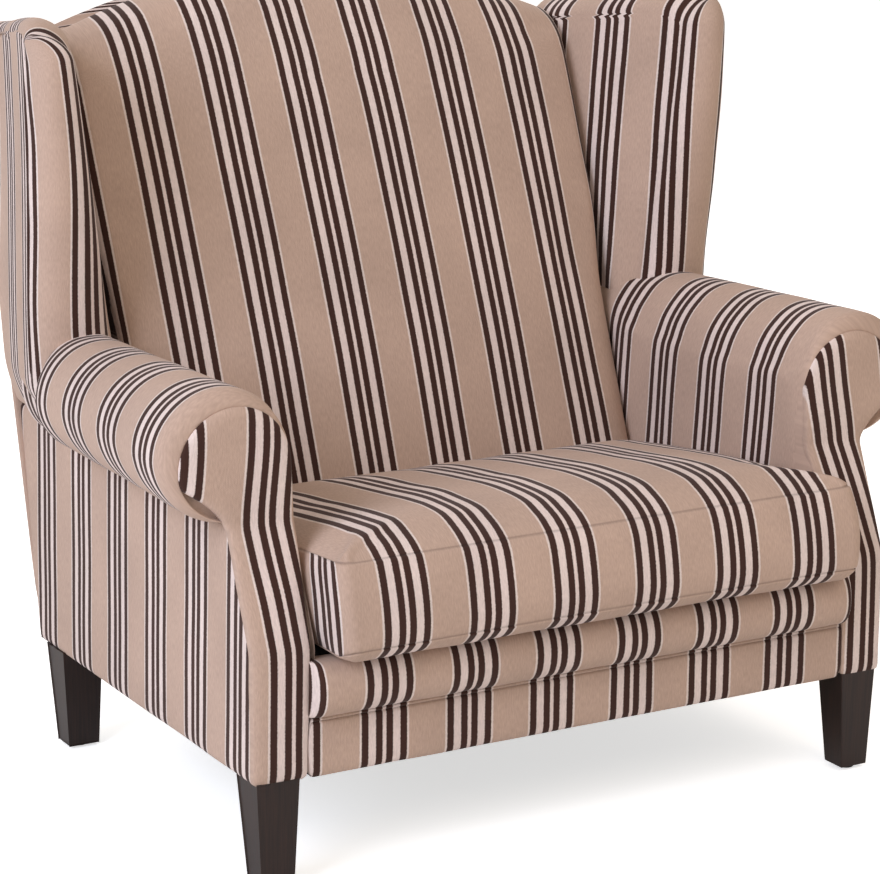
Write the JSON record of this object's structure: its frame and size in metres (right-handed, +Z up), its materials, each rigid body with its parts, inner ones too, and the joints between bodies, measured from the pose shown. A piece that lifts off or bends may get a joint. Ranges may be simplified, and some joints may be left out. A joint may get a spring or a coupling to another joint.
{
  "type": "upholstered wing armchair",
  "caption": "Wide wing chair with scroll arms, raked arched back, loose box seat cushion and four tapered square legs.",
  "frame": {"origin": "centre of the chair's box, on the floor that the four glides stand on", "axes": "+Z up, the chair faces -Y, +X to the right as seen from the front"},
  "size_m": [1.1674, 0.9344, 1.086],
  "materials": {
    "striped_fabric": "woven cotton, tan ground with groups of dark brown and off-white stripes",
    "lining": "plain black lining cloth",
    "dark_wood": "dark stained hardwood, satin lacquer",
    "frame_wood": "plain sawn beech",
    "spring_steel": "bright spring wire and strip",
    "glide_plastic": "moulded black plastic"
  },
  "bodies": {
    "chair": {"leg_front_right": "dark_wood", "leg_front_left": "dark_wood", "leg_glide_front_right": "glide_plastic", "leg_glide_front_left": "glide_plastic", "corner_block_front_right": "frame_wood", "corner_block_front_left": "frame_wood", "leg_rear_right": "dark_wood", "leg_rear_left": "dark_wood", "leg_glide_rear_right": "glide_plastic", "leg_glide_rear_left": "glide_plastic", "corner_block_rear_right": "frame_wood", "corner_block_rear_left": "frame_wood", "seat_rail_front": "frame_wood", "seat_rail_rear": "frame_wood", "seat_rail_side_right": "frame_wood", "seat_rail_side_left": "frame_wood", "arm_post_right": "frame_wood", "arm_post_left": "frame_wood", "back_post_right": "frame_wood", "back_post_left": "frame_wood", "arm_board_right": "frame_wood", "arm_board_left": "frame_wood", "back_rail_lower": "frame_wood", "back_rail_top": "frame_wood", "zigzag_spring_1": "spring_steel", "spring_clip_front_1": "spring_steel", "spring_clip_rear_1": "spring_steel", "zigzag_spring_2": "spring_steel", "spring_clip_front_2": "spring_steel", "spring_clip_rear_2": "spring_steel", "zigzag_spring_3": "spring_steel", "spring_clip_front_3": "spring_steel", "spring_clip_rear_3": "spring_steel", "zigzag_spring_4": "spring_steel", "spring_clip_front_4": "spring_steel", "spring_clip_rear_4": "spring_steel", "zigzag_spring_5": "spring_steel", "spring_clip_front_5": "spring_steel", "spring_clip_rear_5": "spring_steel", "border_band_front": "striped_fabric", "border_lip_front": "striped_fabric", "seat_deck_pad": "lining", "dust_cover": "lining", "arm_roll_right": "striped_fabric", "arm_roll_left": "striped_fabric", "inside_arm_right": "striped_fabric", "inside_arm_left": "striped_fabric", "arm_facing_right": "striped_fabric", "arm_facing_left": "striped_fabric", "side_panel_right": "striped_fabric", "side_panel_left": "striped_fabric", "wing_pad_right": "striped_fabric", "wing_pad_left": "striped_fabric", "wing_board_right": "frame_wood", "wing_board_left": "frame_wood", "wing_panel_right": "striped_fabric", "wing_panel_left": "striped_fabric", "back_pad": "striped_fabric", "outside_back": "striped_fabric"},
    "seat_cushion": {"seat_cushion": "striped_fabric"}
  },
  "joints": [
    {"name": "seat_cushion_lift", "type": "slide", "parent": "chair", "child": "seat_cushion", "axis": [0, 0, 1], "range_m": [0, 0.36]}
  ]
}
